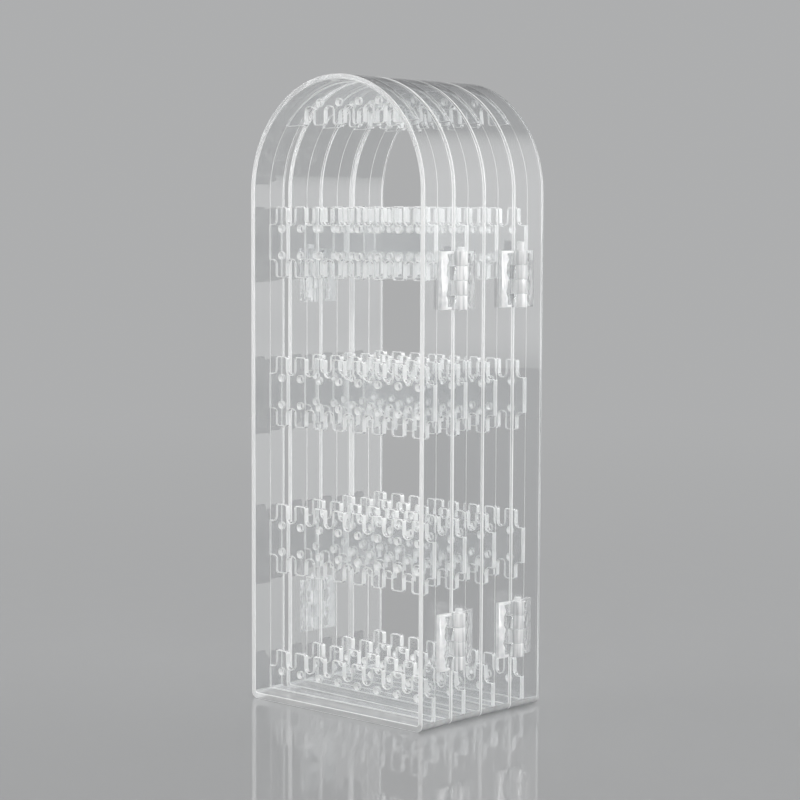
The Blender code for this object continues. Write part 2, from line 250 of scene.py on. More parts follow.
@dataclass(frozen=True)
class Finishes:
    """Every finish of the organizer, made once."""

    wall: bpy.types.Material
    rim: bpy.types.Material
    rim_edge: bpy.types.Material
    base: bpy.types.Material
    bar: bpy.types.Material
    bar_edge: bpy.types.Material
    bar_tip: bpy.types.Material
    hinge: bpy.types.Material
    hinge_rib: bpy.types.Material
    hinge_edge: bpy.types.Material
    barrel: bpy.types.Material
    pin: bpy.types.Material

    @classmethod
    def make(cls) -> "Finishes":
        """Build the twelve materials.

        Returns:
            The set of them.
        """
        clear, deep = (0.92, 0.926, 0.93), (0.89, 0.898, 0.903)
        pale, cool = (0.97, 0.974, 0.976), (0.94, 0.946, 0.95)
        white, grey = (0.985, 0.987, 0.985), (0.93, 0.937, 0.94)
        # deep tints for the shaded part of painted streaks and blobs, and the pins' cloudy tint
        painted_dark, painted_darkest, cloudy = (0.8, 0.81, 0.82), (0.6, 0.61, 0.62), (0.90, 0.91, 0.92)
        # Piece, look, tint, deep tint, clarity, gloss, cloud scale, ripple, ripple scale.
        rows = (("wall", "clear", clear, deep, 0.985, (0.0, 0.012), 14.0, 0.02, 26.0),
                # rims: a white, half-clear copy of the plastic, painted highlight that fades to
                # clear plastic in the arch
                ("rim", "polished", white, grey, 0.42, (0.08, 0.2), 60.0, 0.12, 240.0),
                # rim edges and the crease: whiter copy, painted highlight that fades out in the
                # arch like the rims
                ("rim_edge", "bright", white, grey, 0.12, (0.06, 0.16), 60.0, 0.05, 240.0),
                # base: half-white skin, painted light over the shade beneath it, with painted
                # streaks of glint along X
                ("base", "streaked", white, painted_dark, 0.5, (0.02, 0.12), 260.0, 0.8, 120.0),
                ("bar", "clear", pale, cool, 0.975, (0.005, 0.035), 40.0, 0.05, 90.0),
                # bar edges, peg sides and holes: whiter copy, painted highlight
                ("bar_edge", "bright", white, grey, 0.25, (0.04, 0.12), 90.0, 0.1, 300.0),
                ("bar_tip", "clear", white, grey, 0.85, (0.01, 0.05), 90.0, 0.05, 200.0),
                ("hinge", "clear", pale, cool, 0.9, (0.01, 0.05), 120.0, 0.06, 200.0),
                # rib: whiter copy with painted glint blobs; the flipped leaf keeps clear plastic
                # there
                ("hinge_rib", "bright", white, painted_dark, 0.12, (0.03, 0.1), 300.0, 0.5, 250.0),
                # leaf edges and rails: whiter copy, painted highlight
                ("hinge_edge", "bright", white, grey, 0.3, (0.03, 0.1), 120.0, 0.1, 250.0),
                # barrels: whitish copy with painted vertical highlight streaks
                ("barrel", "streaked", white, painted_darkest, 0.15, (0.02, 0.1), 700.0, 0.6, 700.0),
                ("pin", "cloudy", white, cloudy, 0.4, (0.05, 0.14), 160.0, 0.1, 400.0))
        # clears: heights in metres where the rims' painted highlight fades out; stretch and
        # contrast draw the painted streaks
        extra = {"rim": {"clears": (0.235, 0.285)}, "rim_edge": {"clears": (0.26, 0.35)},
                 "base": {"stretch": (0.15, 1.0, 1.0), "contrast": 3.0},
                 "hinge_rib": {"contrast": 3.0},
                 "barrel": {"stretch": (1.0, 1.0, 0.05), "contrast": 4.0}}
        plastics = {piece: ClearPlastic(f"{piece}_{look}", *values, **extra.get(piece, {}))
                    for piece, look, *values in rows}
        return cls(**{piece: plastic.material() for piece, plastic in plastics.items()})


# ---- outlines

@dataclass
class Loop:
    """A closed line in a panel's own width (x) and height (z), with the way out at each point."""

    points: np.ndarray
    out: np.ndarray

    def inset(self, amount: float) -> np.ndarray:
        """The points, moved into the plastic by amount."""
        return self.points - self.out * amount


def unit(ways: np.ndarray) -> np.ndarray:
    """The same ways with a length of 1."""
    return ways / np.linalg.norm(ways, axis=-1, keepdims=True)


def compass(turn: np.ndarray) -> np.ndarray:
    """Ways at angles, in radians, from the way to the right: (cos, sin)."""
    return np.stack([np.cos(turn), np.sin(turn)], 1)


def circle(centre: Pair, radius: float, steps: int) -> Loop:
    """A round hole, walked clockwise so that its way out is towards its centre."""
    way = compass(-np.linspace(0.0, 2 * np.pi, steps, endpoint=False))
    return Loop(np.array(centre) + radius * way, -way)


def arc(centre: Pair, radius: float, start: float, end: float, steps: int) -> Loop:
    """Points at equal angles, in degrees, on a circle; the way out is away from its centre."""
    way = compass(np.radians(np.linspace(start, end, steps)))
    return Loop(np.array(centre) + radius * way, way)


def filleted(chain: np.ndarray, radii: np.ndarray, steps: int) -> Loop:
    """Round the inner corners of an open chain of corners that runs counterclockwise.

    At each corner the arc touches both sides: its centre lies on the bisector, radius / sin(half
    the angle) from the corner, and the arc turns from one touching point to the other at equal
    angles. The way out is away from the centre on an outer corner and towards it on an inner one.

    Args:
        chain: Corners, one row each; the first and the last only give directions.
        radii: Radius at each corner between them.
        steps: Points on each arc.

    Returns:
        The rounded line.
    """
    before, corner, after = chain[:-2], chain[1:-1], chain[2:]
    to_before, to_after = unit(before - corner), unit(after - corner)
    half = np.arccos(np.clip((to_before * to_after).sum(1), -1, 1)) / 2
    centre = corner + unit(to_before + to_after) * (radii / np.sin(half))[:, None]
    reach = (radii / np.tan(half))[:, None]
    first = (corner + to_before * reach - centre) / radii[:, None]
    last = (corner + to_after * reach - centre) / radii[:, None]
    sweep = (np.pi - 2 * half)[:, None]
    share = np.linspace(0.0, 1.0, steps)[None, :]
    from_first = (np.sin((1 - share) * sweep) / np.sin(sweep))[..., None]
    from_last = (np.sin(share * sweep) / np.sin(sweep))[..., None]
    way = from_first * first[:, None] + from_last * last[:, None]
    points = centre[:, None] + way * radii[:, None, None]
    step_in = corner - before
    step_out = after - corner
    outer = np.sign(step_in[:, 0] * step_out[:, 1] - step_in[:, 1] * step_out[:, 0])
    return Loop(points.reshape(-1, 2), (way * outer[:, None, None]).reshape(-1, 2))


# ---- meshes

def put(name: str, data: bpy.types.ID) -> bpy.types.Object:
    """Link a new object to the scene.

    Args:
        name: Its name.
        data: Its mesh, light or camera.

    Returns:
        The object, at the origin.
    """
    made = bpy.data.objects.new(name, data)
    bpy.context.scene.collection.objects.link(made)
    return made


def bare(name: str, points: np.ndarray, faces: list[Any]) -> bpy.types.Object:
    """Make an object without finishes.

    Args:
        name: Its name and its mesh's.
        points: Places in millimetres, one row each.
        faces: The point numbers of each face.

    Returns:
        The linked object.
    """
    mesh = bpy.data.meshes.new(name)
    mesh.from_pydata((points * MM).tolist(), [], faces)
    return put(name, mesh)


@dataclass
class Shell:
    """A closed surface as arrays, in millimetres: places, ways out and faces.

    The quads have a finish each; the triangles all have the first.
    """

    points: np.ndarray
    normals: np.ndarray
    quads: np.ndarray
    triangles: np.ndarray
    finish: np.ndarray

    def volume(self) -> float:
        """Add up a . (b x c) / 6 over all triangles.

        Returns:
            The volume, below 0 where the faces point inwards.
        """
        halves = [self.triangles, self.quads[:, [0, 1, 2]], self.quads[:, [0, 2, 3]]]
        a, b, c = (self.points[np.concatenate(halves)[:, k]] for k in range(3))
        return float(np.einsum("ij,ij->i", a, np.cross(b, c)).sum() / 6.0)

    def placed(self, place: Matrix) -> "Shell":
        """The shell moved by a rigid place, whose shift is in millimetres."""
        turn = np.array(place.to_3x3()).T
        return replace(self, points=self.points @ turn + np.array(place.translation),
                       normals=self.normals @ turn)

    def to_object(self, name: str, finishes: list[bpy.types.Material]) -> bpy.types.Object:
        """Make the mesh object, at the origin, with its places in its mesh.

        Args:
            name: Name of the piece.
            finishes: Materials, in the order of the finish numbers.

        Returns:
            The linked object.
        """
        if self.volume() < 0:
            self.quads, self.triangles = self.quads[:, ::-1], self.triangles[:, ::-1]
        mesh = bpy.data.meshes.new(name)
        mesh.vertices.add(len(self.points))
        mesh.vertices.foreach_set("co", (self.points * MM).astype(np.float32).ravel())
        corners = np.concatenate([self.quads.ravel(), self.triangles.ravel()])
        totals = np.repeat([4, 3], [len(self.quads), len(self.triangles)])
        mesh.loops.add(len(corners))
        mesh.loops.foreach_set("vertex_index", corners.astype(np.int32))
        mesh.polygons.add(len(totals))
        mesh.polygons.foreach_set("loop_start", (np.cumsum(totals) - totals).astype(np.int32))
        for material in finishes:
            mesh.materials.append(material)
        finish = np.zeros(len(totals), np.int32)
        finish[:len(self.quads)] = self.finish
        mesh.polygons.foreach_set("material_index", finish)
        mesh.polygons.foreach_set("use_smooth", np.ones(len(totals), bool))
        mesh.update(calc_edges=True)
        mesh.validate()
        mesh.normals_split_custom_set_from_vertices(self.normals.astype(np.float32))
        return put(name, mesh)


def stood(flat: np.ndarray, depth: np.ndarray) -> np.ndarray:
    """Places or ways in space from those across and up, and their depth."""
    return np.stack([flat[..., 0], np.broadcast_to(depth, flat.shape[:-1]), flat[..., 1]], -1)


def grid_quads(rows: int, columns: int, wrap_rows: bool) -> np.ndarray:
    """Join a grid of points whose rows are closed.

    Args:
        rows: How many rows there are.
        columns: How many points a row has.
        wrap_rows: Whether the last row joins the first one.

    Returns:
        The four point numbers of each face.
    """
    row = np.arange(rows if wrap_rows else rows - 1)[:, None]
    column = np.arange(columns)[None, :]
    near, far = row * columns, ((row + 1) % rows) * columns
    beside = (column + 1) % columns
    return np.stack([near + column, far + column, far + beside, near + beside], -1).reshape(-1, 4)


# ---- the panel frame

@dataclass
class PanelFrame:
    """Two walls, the arch and the base strip in one moulding."""

    width: float = 109.5
    height: float = 300.0
    depth: float = 20.7
    wall: float = 2.5
    base: float = 3.0
    ridge: float = 0.25
    foot_radius: float = 3.5
    inner_corner: float = 1.0
    edge: float = 0.3
    crease: float = 0.18
    crease_lip: float = 0.09
    crease_foot: float = 0.4
    crease_way: Pair = (0.94, -0.34)
    gate_height: float = 181.0
    gate_rise: float = 0.22
    gate_reach: float = 1.1
    gate_margin: float = 1.2
    gate_inset: float = 0.8
    base_steps: int = 10
    foot_steps: int = 8
    wall_steps: int = 16
    gate_steps: int = 13
    arch_steps: int = 49
    edge_steps: int = 5

    def ring(self, half: float, floor: float, corner: float) -> np.ndarray:
        """One closed line of the frame: base, round corner, straight wall and half circle.

        Args:
            half: Half the width of this line.
            floor: Height of its lower edge.
            corner: Radius of its lower corners.

        Returns:
            Points that run counterclockwise, as many for any line of this frame.
        """
        springing = self.height - self.width / 2
        base = np.stack([np.linspace(0, half - corner, self.base_steps),
                         np.full(self.base_steps, floor)], 1)[:-1]
        foot = arc((half - corner, floor + corner), corner, -90, 0, self.foot_steps).points
        straight = np.linspace(floor + corner, springing, self.wall_steps)[1:-1]
        near_gate = self.gate_height + self.gate_reach * np.linspace(
            -self.gate_margin, self.gate_margin, self.gate_steps)
        rise = np.sort(np.concatenate([straight, near_gate]))
        wall = np.stack([np.full(len(rise), half), rise], 1)
        arch = arc((0, springing), half, 0, 90, self.arch_steps).points
        right = np.concatenate([base, foot, wall, arch])
        left = right[1:-1][::-1] * [-1, 1]
        return np.concatenate([right, left])

    def section(self) -> tuple[np.ndarray, np.ndarray, np.ndarray]:
        """The wall's closed cross-section.

        From the front half, walked from the middle of the outer face over the front rim to the
        crease in the middle of the inner face, the rear half follows by mirroring. Edges are
        quarter circles: edge * (1 - cos) in, edge * (1 - sin) deep.

        Returns:
            Rows of (in from the outer face, depth), their ways out, and each strip's finish.
        """
        turn = np.radians(np.linspace(0, 90, self.edge_steps))
        middle = self.depth / 2
        lean = self.ridge / middle
        outer = np.stack([self.edge * (1 - np.cos(turn)), self.edge * (1 - np.sin(turn))], 1)
        outer_out = np.stack([-np.cos(turn), -np.sin(turn)], 1)
        inner = np.stack([self.wall - outer[::-1, 0], outer[::-1, 1]], 1)
        inner_out = outer_out[::-1] * [-1, 1]
        rise = self.wall + self.ridge - lean * self.crease
        crease = np.array([[rise, middle - self.crease],
                           [rise + self.crease_lip, middle - self.crease * self.crease_foot]])
        crease_out = np.array([[1.0, -lean], self.crease_way])
        half = np.concatenate([[[0.0, middle]], outer, inner, crease])
        out = np.concatenate([[[-1.0, 0.0]], outer_out, inner_out, crease_out])
        # rims and rounded edges take finishes of painted highlight; the crease strip takes the
        # edge one
        wall, soft, rim = FrameFinish.WALL, FrameFinish.RIM_EDGE, FrameFinish.RIM
        edge = [soft] * (self.edge_steps - 1)
        finish = np.array([wall, *edge, rim, *edge, wall, soft])
        rear = half[1:][::-1] * [1, -1] + [0, self.depth]
        rear_out = out[1:][::-1] * [1, -1]
        strips = np.concatenate([finish, [soft], finish[1:][::-1], [wall]])
        return np.concatenate([half, rear]), np.concatenate([out, rear_out]), strips

    def shell(self) -> Shell:
        """Carry the cross-section along the frame's line.

        A point lies at outer + (inner - outer) * in / wall, at its depth; the gate mark pushes the
        front rim out by gate_rise * exp(-(2 * distance / reach)^2).

        Returns:
            The closed shell in the place of the first panel of the closed stack.
        """
        half = self.width / 2
        outer = self.ring(half, 0.0, self.foot_radius)
        inner = self.ring(half - self.wall, self.base, self.inner_corner)
        section, out, strips = self.section()
        share = section[:, 0] / self.wall
        flat = outer[:, None] + (inner - outer)[:, None] * share[None, :, None]
        points = stood(flat, section[:, 1])
        on_rim = np.clip(1.0 - section[:, 1] / (2 * self.edge), 0.0, 1.0)
        away = np.hypot(points[..., 2] - self.gate_height,
                        points[..., 0] - (half - self.wall * self.gate_inset))
        points[..., 1] -= self.gate_rise * np.exp(-(away / self.gate_reach * 2) ** 2) * on_rim
        normals = unit(stood(unit(inner - outer)[:, None] * out[None, :, :1], out[:, 1]))
        quads = grid_quads(len(outer), len(section), True)
        # the base strip's flat faces take the base finish: painted streaks of glint and painted
        # light
        in_base = np.maximum(outer[:, 1], np.roll(outer[:, 1], -1)) <= self.foot_radius
        flat_base = in_base[:, None] & (strips != FrameFinish.RIM_EDGE)
        finish = np.where(flat_base, FrameFinish.BASE, strips)
        return Shell(points.reshape(-1, 3), normals.reshape(-1, 3), quads, np.empty((0, 3), int),
                     finish.ravel())


# ---- the bars

class BarKind(Enum):
    """Which bar of a panel."""

    TOP = "fills the arch, pegs down"
    DOUBLE = "pegs up and down"
    BOTTOM = "stands on the base, pegs up"


@dataclass
class PegBar:
    """A flat bar with pegs for chains and holes for hooks."""

    kind: BarKind
    level: float
    half_length: float = 51.7
    thickness: float = 2.6
    springing: float = 245.25
    foot: float = 3.55
    pitch: float = 12.45
    peg: float = 7.3
    tip: float = 17.0
    peg_corner: float = 1.5
    notch_floor: float = 8.2
    notch_radius: float = 2.55
    shoulder_rise: float = 0.6
    hole_radius: float = 1.5
    hole_row: float = 6.45
    end_corner: float = 0.5
    wedge_corner: float = 1.2
    crown_lead: float = 1.2
    edge: float = 0.4
    # how far sideways an edge must face to carry the painted highlight
    bright_from: float = 0.8
    peg_count: int = 8
    corner_steps: int = 8
    crown_steps: int = 81
    hole_steps: int = 28
    edge_steps: int = 4

    @property
    def pegs(self) -> np.ndarray:
        """Where the middle of each peg is, across the bar."""
        return (np.arange(self.peg_count) - (self.peg_count - 1) / 2) * self.pitch

    def comb(self, pegs: np.ndarray, floor: float, tip: float) -> tuple[np.ndarray, np.ndarray]:
        """Lay out a row of pegs: two corners at each tip and two at the notch floors beside it.

        Args:
            pegs: Middles of the pegs, in the order in which the line passes them.
            floor: Height of the notch floors.
            tip: Height of the tips.

        Returns:
            The corners, one row each, and their radii.
        """
        half = np.sign(pegs[0] - pegs[-1]) * self.peg / 2
        sides = np.stack([pegs + half, pegs + half, pegs - half, pegs - half], 1).ravel()
        heights = np.tile([floor, tip, tip, floor], len(pegs))
        radii = [self.notch_radius, self.peg_corner, self.peg_corner, self.notch_radius]
        return np.stack([sides, heights], 1), np.tile(radii, len(pegs))

    def toothed(self) -> tuple[np.ndarray, np.ndarray]:
        """Lay out the upper edge of a bar, from its right end to its left one.

        The shoulder beside the last peg rises by shoulder_rise to the bar's own corner.

        Returns:
            The corners, one row each, and their radii.
        """
        floor = self.level + self.notch_floor
        corners, radii = self.comb(self.pegs[::-1], floor, self.level + self.tip)
        end = np.array([[self.half_length, floor + self.shoulder_rise]])
        return (np.concatenate([end, corners, end * [-1, 1]]),
                np.concatenate([[self.end_corner], radii, [self.end_corner]]))

    def outline(self) -> Loop:
        """Lay out the bar.

        Returns:
            Its outer line, counterclockwise.
        """
        if self.kind is BarKind.TOP:
            return self.arch_outline()
        corners, radii = self.toothed()
        if self.kind is BarKind.DOUBLE:
            below, below_radii = np.array([0.0, 2 * self.level]) - corners, radii
        else:
            below = np.array([[-self.half_length, self.foot], [self.half_length, self.foot]])
            below_radii = [self.end_corner] * 2
        chain = np.concatenate([corners, below])
        return filleted(np.concatenate([chain[-1:], chain, chain[:1]]),
                        np.concatenate([radii, below_radii]), self.corner_steps)

    def hanging(self) -> np.ndarray:
        """The pegs that hang from the top bar."""
        return self.pegs[np.abs(self.pegs) < 2 * self.pitch]

    def arch_outline(self) -> Loop:
        """Lay out the top bar: the arch above, pegs and two plain wedges below.

        Returns:
            Its outer line, counterclockwise.
        """
        tip, floor = self.level - self.tip, self.level - self.notch_floor
        hanging = self.hanging()
        corners, radii = self.comb(hanging, floor, tip)
        centre, radius = (0, self.springing), self.half_length
        lowest = np.degrees(np.arcsin((tip - self.springing) / radius))
        lead = np.degrees(self.crown_lead / radius)
        crown = arc(centre, radius, lowest + lead, 180 - lowest - lead, self.crown_steps)
        wedge = hanging[-1] + self.pitch - self.peg / 2
        flank = np.concatenate([[[wedge, floor], [wedge, tip]],
                                arc(centre, radius, lowest, lowest, 1).points])
        flank_radii = [self.notch_radius, self.wedge_corner, self.end_corner]
        chain = np.concatenate([crown.points[-1:], flank[::-1] * [-1, 1], corners, flank,
                                crown.points[:1]])
        radii = np.concatenate([flank_radii[::-1], radii, flank_radii])
        below = filleted(chain, radii, self.corner_steps)
        return Loop(np.concatenate([below.points, crown.points]),
                    np.concatenate([below.out, crown.out]))

    def holes(self) -> list[Loop]:
        """Put a round hole at the root of each peg.

        Returns:
            The holes' lines.
        """
        low, high = self.level - self.hole_row, self.level + self.hole_row
        rows = {BarKind.TOP: [(self.hanging(), low)], BarKind.BOTTOM: [(self.pegs, high)],
                BarKind.DOUBLE: [(self.pegs, low), (self.pegs, high)]}[self.kind]
        return [circle((float(peg), row), self.hole_radius, self.hole_steps)
                for pegs, row in rows for peg in pegs]

    def shell(self, middle_depth: float) -> Shell:
        """Carry the outlines through the thickness and close both faces.

        The edge is a quarter circle front and rear: inset edge * (1 - sin), deep edge * (1 - cos).
        Each face is a triangulation of its outer line that leaves out the holes. The rounded edges
        and the holes carry painted highlight; the outer line's flat strip carries it where it
        faces sideways, by more than the given share, and is clear elsewhere.

        Args:
            middle_depth: Depth of the bar's middle behind the panel's front.

        Returns:
            The closed shell.
        """
        loops = [self.outline()] + self.holes()
        turn = np.radians(np.linspace(0, 90, self.edge_steps))
        inset = self.edge * (1 - np.sin(turn))
        deep = self.edge * (1 - np.cos(turn)) - self.thickness / 2
        insets = np.concatenate([inset, inset[::-1]])
        depths = np.concatenate([deep, -deep[::-1]]) + middle_depth
        facing = np.concatenate([-np.cos(turn), np.cos(turn[::-1])])
        sideways = np.concatenate([np.sin(turn), np.sin(turn[::-1])])
        points, normals, quads, finish, start = [], [], [], [], 0
        front, rear = [], []
        for loop in loops:
            count = len(loop.points)
            strips = np.full((len(insets) - 1, count), BarFinish.EDGE)
            # the outer line's flat strip keeps the painted highlight only where it faces sideways
            if start == 0:
                bright = np.abs(loop.out[:, 0]) > self.bright_from
                strips[len(turn) - 1] = np.where(bright, BarFinish.EDGE, BarFinish.TIP)
            finish.append(strips.ravel())
            flat = loop.points[None] - loop.out[None] * insets[:, None, None]
            way = loop.out[None] * sideways[:, None, None]
            points.append(stood(flat, depths[:, None]).reshape(-1, 3))
            normals.append(stood(way, facing[:, None]).reshape(-1, 3))
            quads.append(grid_quads(len(insets), count, False) + start)
            front.append(start + np.arange(count))
            rear.append(start + (len(insets) - 1) * count + np.arange(count))
            start += len(insets) * count
        faces = flat_face([loop.inset(insets[0]) for loop in loops])
        near, far = np.concatenate(front), np.concatenate(rear)
        triangles = np.concatenate([near[faces], far[faces][:, ::-1]])
        return Shell(np.concatenate(points), np.concatenate(normals), np.concatenate(quads),
                     triangles, np.concatenate(finish))


def flat_face(lines: list[np.ndarray]) -> np.ndarray:
    """Triangles between an outer line and its holes.

    Args:
        lines: The outer line's points, then each hole's.

    Returns:
        Rows of point numbers, counted through all the lines.
    """
    sizes = np.array([len(line) for line in lines])
    starts = np.cumsum(sizes) - sizes
    owner = np.repeat(np.arange(len(lines)), sizes)
    edges = [np.stack([s + np.arange(n), s + (np.arange(n) + 1) % n], 1)
             for s, n in zip(starts, sizes)]
    places = np.concatenate(lines)
    inside_only, nearness = 1, 1e-6
    _, _, faces, origins, *_ = delaunay_2d_cdt(
        [Vector(p) for p in places], np.concatenate(edges).tolist(), [], inside_only, nearness)
    faces = np.array([group[0] for group in origins])[np.array(faces)]
    in_hole = (owner[faces] == owner[faces][:, :1]).all(1) & (owner[faces][:, 0] > 0)
    faces = faces[~in_hole]
    a, b, c = (places[faces[:, k]] for k in range(3))
    turned = (b - a)[:, 0] * (c - a)[:, 1] - (b - a)[:, 1] * (c - a)[:, 0] < 0
    faces[turned] = faces[turned][:, ::-1]
    return faces


# ---- the hinges

@dataclass
class HingeLeaf:
    """A leaf bonded to the outside of a wall, with two knuckles.

    In its own place the hinge axis is Z, the wall lies at -X and the leaf reaches to -Y.
    """

    back: float = -3.7
    reach: float = 11.5
    plate: float = 1.3
    rim: float = 2.6
    rib: float = 3.4
    rail: float = 1.2
    barrel: float = 3.25
    bore: float = 2.0
    clearance: float = 0.45
    knuckle: float = 6.375
    gap: float = 0.3
    count: int = 4
    soften: float = 0.2
    wave: float = 0.6
    wave_length: float = 10.0
    second_wave: Triple = (0.5, 2.3, 1.0)
    rib_slope: float = 0.6
    arm: float = 1.9
    cutter_past: float = 1.0
    tolerance: float = 0.05
    soft_segments: int = 3
    soft_from: float = 32.0
    wave_steps: int = 41
    barrel_steps: int = 43
    arm_steps: int = 9
    bore_steps: int = 48

    @property
    def height(self) -> float:
        """Height of the whole hinge."""
        return self.count * self.knuckle + (self.count - 1) * self.gap

    def prism(self, name: str, plan: np.ndarray, low: float, high: float) -> bpy.types.Object:
        """Make a closed solid without finishes, upright on a plan.

        Args:
            name: Name of the object.
            plan: Its corners, counterclockwise.
            low: Height of its foot.
            high: Height of its top.

        Returns:
            The linked object.
        """
        count = len(plan)
        points = np.concatenate([np.c_[plan, np.full(count, rise)] for rise in (low, high)])
        sides = np.roll(grid_quads(2, count, False)[:, ::-1], 1, 1).tolist()
        return bare(name, points, sides + [range(count)[::-1], range(count, 2 * count)])

    def recess(self) -> bpy.types.Object:
        """Make the cutter of the leaf's recess, whose side along the rib runs in two waves.

        That side lies at rib - reach + wave * (sin(turn) + share * sin(pitch * turn + phase)),
        where turn = 2 pi z / wave_length.

        Returns:
            The linked cutter.
        """
        rise = np.linspace(self.rail, self.height - self.rail, self.wave_steps)
        turn = 2 * np.pi * rise / self.wave_length
        share, pitch, phase = self.second_wave
        waves = np.sin(turn) + share * np.sin(pitch * turn + phase)
        side = self.rib - self.reach + self.wave * waves
        deep, proud = self.back + self.plate, self.back + self.rim + self.cutter_past
        open_side = self.cutter_past - self.barrel - self.clearance
        rings = np.empty((len(rise), 4, 3))
        rings[:, [0, 3], 0], rings[:, [1, 2], 0] = deep, proud
        rings[:, 0, 1], rings[:, 1, 1], rings[:, 2:, 1] = side, side, open_side
        rings[..., 2] = rise[:, None]
        faces = grid_quads(len(rise), 4, False)[:, ::-1].tolist()
        ends = [range(4)[::-1], range(4 * len(rise) - 4, 4 * len(rise))]
        return bare("leaf_recess", rings.reshape(-1, 3), faces + ends)

    def template(self, looks: "Finishes") -> bpy.types.Mesh:
        """Join plate and knuckles, cut the recess and the bores, and soften every edge.

        Args:
            looks: The finishes; the rib, the rails and the softened edges carry painted highlight.

        Returns:
            The leaf's mesh in its own place.
        """
        edge = self.barrel + self.clearance
        front = self.back + self.rim
        leaf = self.prism("leaf_plate", np.array([
            [self.back, -self.reach], [front - self.rib_slope, -self.reach],
            [front, self.rib - self.reach - self.wave], [front, -edge], [self.back, -edge]]),
            0, self.height)
        for finish in (looks.hinge, looks.hinge_rib, looks.barrel, looks.hinge_edge):
            leaf.data.materials.append(finish)
        tools = [("DIFFERENCE", self.recess())]
        root = -self.barrel - self.arm
        barrel = arc((0, 0), self.barrel, -90, 180, self.barrel_steps).points
        turn = np.radians(np.linspace(-90, 0, self.arm_steps))[:-1]
        plate = self.back + self.plate
        flank = np.stack([plate - plate * np.cos(turn), self.arm * np.sin(turn) - self.barrel], 1)
        plan = np.concatenate([[[self.back, 0], [self.back, root]], flank, barrel])
        for place in range(0, self.count, 2):
            low = place * (self.knuckle + self.gap)
            tools.append(("UNION", self.prism(f"knuckle_{place}", plan, low, low + self.knuckle)))
        plan = circle((0, 0), self.bore, self.bore_steps).points[::-1]
        bore = self.prism("bore", plan, -self.cutter_past, self.height + self.cutter_past)
        tools.append(("DIFFERENCE", bore))
        for operation, tool in tools:
            step = leaf.modifiers.new(tool.name, "BOOLEAN")
            step.operation, step.object, step.solver = operation, tool, "EXACT"
        soft = leaf.modifiers.new("soft edges", "BEVEL")
        soft.width, soft.segments = self.soften * MM, self.soft_segments
        soft.limit_method, soft.angle_limit = "ANGLE", math.radians(self.soft_from)
        # the softened edges take the edge finish, painted highlight
        soft.harden_normals, soft.material = True, LeafFinish.EDGE
        bpy.context.view_layer.update()
        graph = bpy.context.evaluated_depsgraph_get()
        mesh = bpy.data.meshes.new_from_object(leaf.evaluated_get(graph))
        for used in [leaf] + [tool for _, tool in tools]:
            bpy.data.objects.remove(used, do_unlink=True)
        self.finish_faces(mesh)
        return mesh

    def finish_faces(self, mesh: bpy.types.Mesh) -> None:
        """Give the faces of barrel, rib and rails their finishes, painted streaks and painted
        highlight, by where their middles are.

        Args:
            mesh: The leaf in its own place.
        """
        count = len(mesh.polygons)
        mesh.polygons.foreach_set("use_smooth", np.ones(count, bool))
        centre, finish = np.empty(count * 3), np.empty(count, np.int32)
        mesh.polygons.foreach_get("center", centre)
        mesh.polygons.foreach_get("material_index", finish)
        across, depth, rise = centre.reshape(-1, 3).T / MM
        proud = across > self.back + self.plate + self.tolerance
        side = (across > self.back + self.tolerance) & (depth < 2 * self.tolerance - self.reach)
        rails = proud & (np.abs(rise - self.height / 2) > self.height / 2 - self.rail)
        rib = side | proud & (depth < self.rib - self.reach + 2 * self.wave)
        barrel = np.hypot(across, depth) < self.barrel + 2 * self.tolerance
        edge = LeafFinish.EDGE
        finish = np.select([finish == edge, barrel, rib, rails],
                           [edge, LeafFinish.BARREL, LeafFinish.RIB, edge], LeafFinish.LEAF)
        mesh.polygons.foreach_set("material_index", finish.astype(np.int32))


@dataclass
class HingePin:
    """A turned pin with chamfered ends, on the hinge axis."""

    radius: float = 1.7
    tail: float = 0.5
    stub: float = 2.0
    length: float = 26.4
    chamfer: float = 0.35
    soft: float = 0.08
    chamfer_way: Pair = (0.92, 0.38)
    steps: int = 48

    def shell(self) -> Shell:
        """Turn the profile about the axis: place = (r cos, r sin, z) for each profile row.

        Returns:
            The closed shell in its own place.
        """
        low, high = -self.tail, self.length + self.stub
        narrow = self.radius - self.chamfer
        rise = [low, low + self.chamfer, low + self.chamfer + self.soft,
                high - self.chamfer - self.soft, high - self.chamfer, high]
        profile = np.stack([[narrow, *[self.radius] * 4, narrow], rise], 1)
        more, less = self.chamfer_way
        out = np.array([[less, -more], [more, -less], [1, 0], [1, 0], [more, less], [less, more]])
        turn = np.linspace(0, 2 * np.pi, self.steps, endpoint=False)
        ring = np.stack([np.cos(turn), np.sin(turn), np.ones_like(turn)], 1)
        points = (profile[:, [0, 0, 1]][:, None] * ring[None]).reshape(-1, 3)
        normals = (out[:, [0, 0, 1]][:, None] * ring[None]).reshape(-1, 3)
        points = np.concatenate([points, [[0, 0, low], [0, 0, high]]])
        normals = np.concatenate([normals, [[0, 0, -1], [0, 0, 1]]])
        quads = grid_quads(len(profile), self.steps, False)[:, ::-1]
        around = np.arange(self.steps)
        beside = (around + 1) % self.steps
        top = (len(profile) - 1) * self.steps
        foot_fan = np.stack([np.full(self.steps, len(points) - 2), beside, around], 1)
        head_fan = np.stack([np.full(self.steps, len(points) - 1), top + around, top + beside], 1)
        triangles = np.concatenate([foot_fan, head_fan])
        return Shell(points, normals, quads, triangles, np.zeros(len(quads), int))


# ---- the assembly

